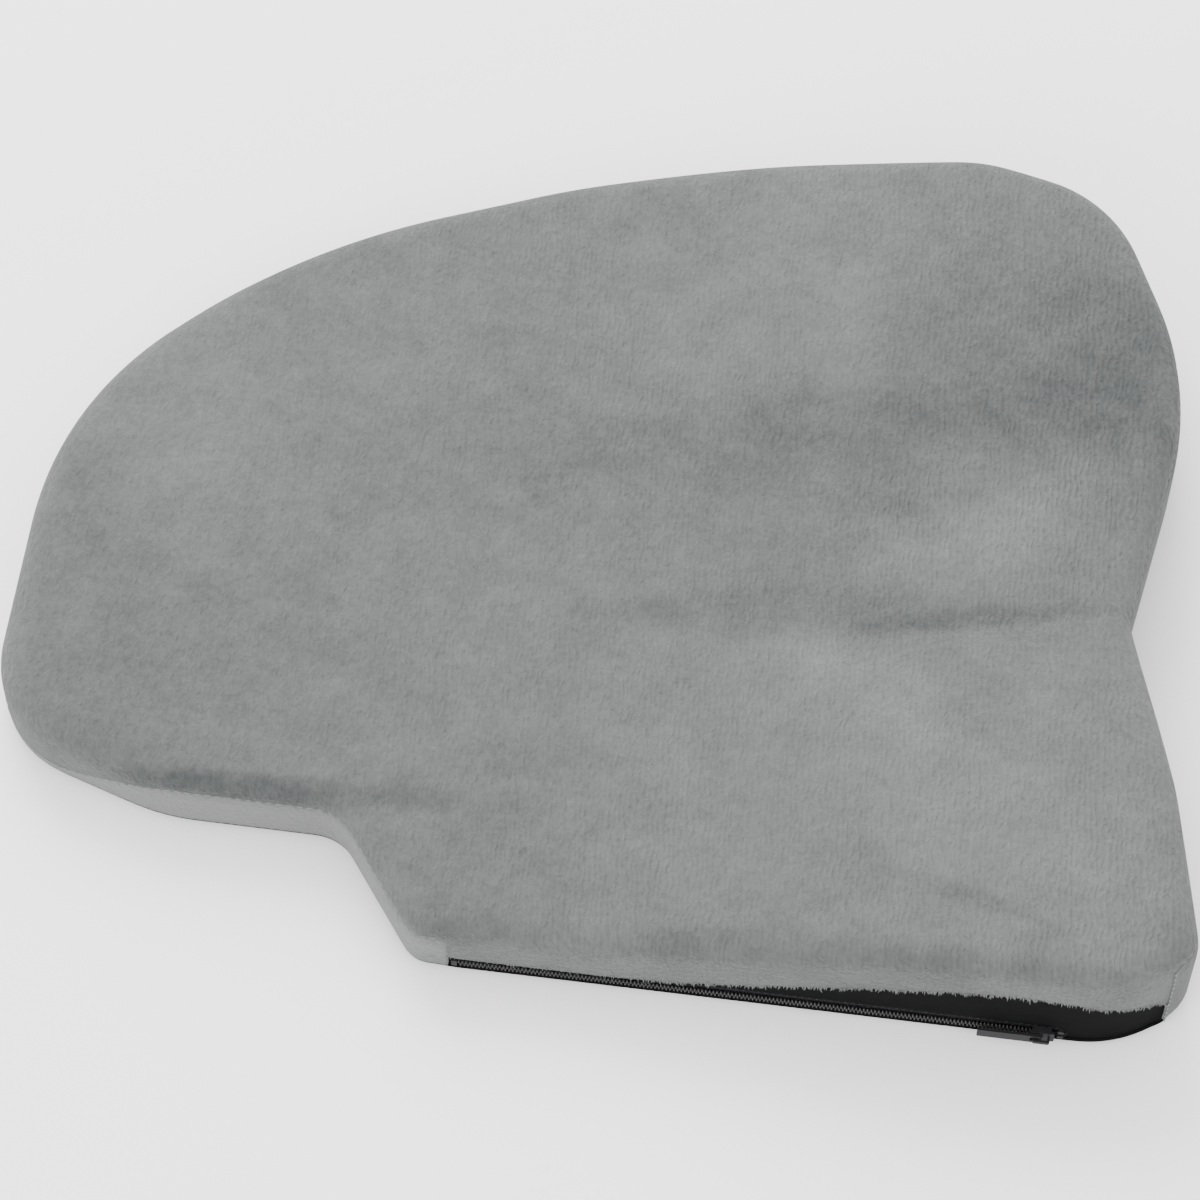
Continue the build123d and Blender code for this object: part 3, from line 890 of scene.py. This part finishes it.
def tuft_shape(node, entry):
    """One tuft of pile: a thin cone, thrown a little out of line."""
    tuft = node("GeometryNodeMeshCone", Vertices=5, Side_Segments=2, Radius_Top=0.00003,
                Radius_Bottom=entry.outputs["Tuft Radius"], Depth=entry.outputs["Tuft Length"])
    mesh = tuft.outputs["Mesh"]
    spread = node("FunctionNodeRandomValue", {"data_type": "FLOAT_VECTOR"}, Min=(-0.55, -0.55, -3.1),
                  Max=(0.55, 0.55, 3.1), Seed=3)
    turn = node("FunctionNodeEulerToRotation", Euler=spread.outputs["Value"])
    both = node("FunctionNodeRotateRotation", {"rotation_space": "LOCAL"},
                Rotation=facing_rotation(node, "Z"), Rotate_By=turn.outputs["Rotation"])
    size = node("FunctionNodeRandomValue", {"data_type": "FLOAT"}, Seed=8)
    size.inputs[2].default_value = 0.55
    size.inputs[3].default_value = 1.25
    return mesh, both.outputs["Rotation"], size.outputs["Value"]


tuft_tree = repeat_tree("plush_tufts", {"Tuft Radius": 0.00032, "Tuft Length": 0.0019}, tuft_shape)
fringe_path = row_path(edge_row, in_side, 0.0)
fringe_steps = np.linalg.norm(np.diff(fringe_path, axis=0), axis=1)
fringe_lengths = np.concatenate([[0], np.cumsum(fringe_steps)])
chance = np.random.default_rng(7)
tuft_spacing, tuft_layers, clump_length = 0.00028, 3, 0.0022
tuft_floor = 0.0141                         # tufts start no lower, so their tips clear the slider's top
tuft_places, tuft_directions = [], []
clumps = chance.uniform(0.2, 1.0, int(fringe_lengths[-1] / clump_length) + 2)
for stop in np.arange(0, fringe_lengths[-1], tuft_spacing):
    place = np.array([np.interp(stop, fringe_lengths, fringe_path[:, k]) for k in range(3)])
    column = side_columns[int(np.argmin(np.abs(outline[side_columns, 0] - place[0])))]
    out = np.array([*outward[column], 0.0])
    clump = clumps[int(stop / clump_length)]
    for _ in range(tuft_layers):
        depth = chance.uniform(-0.0013, -0.0003)
        drop = chance.uniform(-0.0010, 0.0003) + 0.0007 * clump
        root = place + out * depth - np.array([0, 0, drop])
        root[2] = max(root[2], tuft_floor)
        tuft_places.append(root)
        lean_out = chance.uniform(-0.1, 0.5)
        tuft_directions.append(out * lean_out + np.array([chance.uniform(-0.4, 0.4), 0, -1]))
fringe_tones = ((0.095, 0.098, 0.098), (0.18, 0.183, 0.183))
fringe_plush = plush_material("fringe_plush", 0.2, fringe_tones, 0.2, [])
fringe = grown_piece("raw_plush_edge", tuft_places, tuft_directions, tuft_tree, fringe_plush)
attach(fringe, "pad")

# ---------------------------------------------------------------------------------------------
# Zip: two woven black tapes with a nylon coil each, closed from the step to the parked slider.
# The pressed stops at both ends, the die-cast slider and its pull tab are enamelled black.


def link_shape(node, entry):
    """One turn of the nylon coil: a flattened ring of monofilament."""
    ring = node("GeometryNodeCurvePrimitiveCircle", Resolution=14, Radius=1.0)
    size = node("ShaderNodeCombineXYZ", X=entry.outputs["Half Depth"],
                Y=entry.outputs["Half Height"], Z=1.0)
    flat = node("GeometryNodeTransform", Geometry=ring.outputs["Curve"],
                Scale=size.outputs["Vector"])
    wire = node("GeometryNodeCurvePrimitiveCircle", Resolution=6,
                Radius=entry.outputs["Wire Radius"])
    tube = node("GeometryNodeCurveToMesh", Curve=flat.outputs["Geometry"],
                Profile_Curve=wire.outputs["Curve"])
    return tube.outputs["Mesh"], facing_rotation(node, "Z"), None


nylon, nylon_shader = plain_material("black_nylon", (0.010, 0.010, 0.011), 0.35)
add, maths, join = node_tools(nylon)
place = add("ShaderNodeTexCoord").outputs["Object"]
wear = add("ShaderNodeTexNoise", Scale=700.0, Detail=2.0, Vector=place)
wear_range = add("ShaderNodeMapRange", To_Min=0.28, To_Max=0.5, Value=wear.outputs["Fac"])
join(wear_range.outputs[0], nylon_shader.inputs["Roughness"])
link_pitch = 0.0013
wire_radius = 0.00033
link_lean = (1.0, 0.0, 0.06)                # each turn leans a little towards the next
link_tree = repeat_tree(
    "coil_links", {"Half Depth": 0.00042, "Half Height": 0.0006, "Wire Radius": wire_radius}, link_shape
)
for node_name, shift in (("zip_coil_upper", 0.0), ("zip_coil_lower", 0.5)):
    coil_low, coil_high = (Vector(corner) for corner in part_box(node_name))
    half_depth = (coil_high.y - coil_low.y) / 2 - wire_radius
    half_height = (coil_high.z - coil_low.z) / 2 - wire_radius
    count = int((coil_high.x - coil_low.x) / link_pitch) - 1
    middle = (coil_low + coil_high) / 2
    places = [(coil_low.x + (k + 0.5 + shift) * link_pitch, middle.y, middle.z) for k in range(count)]
    sizes = {"Half Depth": half_depth, "Half Height": half_height, "Wire Radius": wire_radius}
    leans = [link_lean] * count
    coil = grown_piece(node_name + "_links", places, leans, link_tree, nylon, sizes)
    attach(coil, "pad")
    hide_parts(node_name)

tape_tones = ((0.007, 0.007, 0.008), (0.022, 0.022, 0.024))
tape_cloth = fabric_material("black_zip_tape", tape_tones, 0.0009, 0.75, 0.0003)
enamel, enamel_shader = plain_material("black_enamel", (0.004, 0.004, 0.0045), 0.5)
enamel_shader.inputs["Specular IOR Level"].default_value = 0.12
add, maths, join = node_tools(enamel)
place = add("ShaderNodeTexCoord").outputs["Object"]
chips = add("ShaderNodeTexNoise", Scale=900.0, Detail=4.0, Roughness=0.7, Vector=place)
chip_tones = ((0.010, 0.010, 0.011), (0.05, 0.05, 0.055))
join_tones(add, join, chips.outputs["Fac"], enamel_shader, chip_tones, (0.62, 0.75))
join_bump(add, join, chips.outputs["Fac"], enamel_shader, 0.2, 0.0001)
for node_name, material in (
    ("zip_tape_upper", tape_cloth), ("zip_tape_lower", tape_cloth), ("zip_top_stops", enamel),
    ("zip_bottom_stop", enamel), ("zip_slider", enamel), ("zip_pull_tab", enamel),
):
    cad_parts[node_name].data.materials.clear()
    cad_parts[node_name].data.materials.append(material)
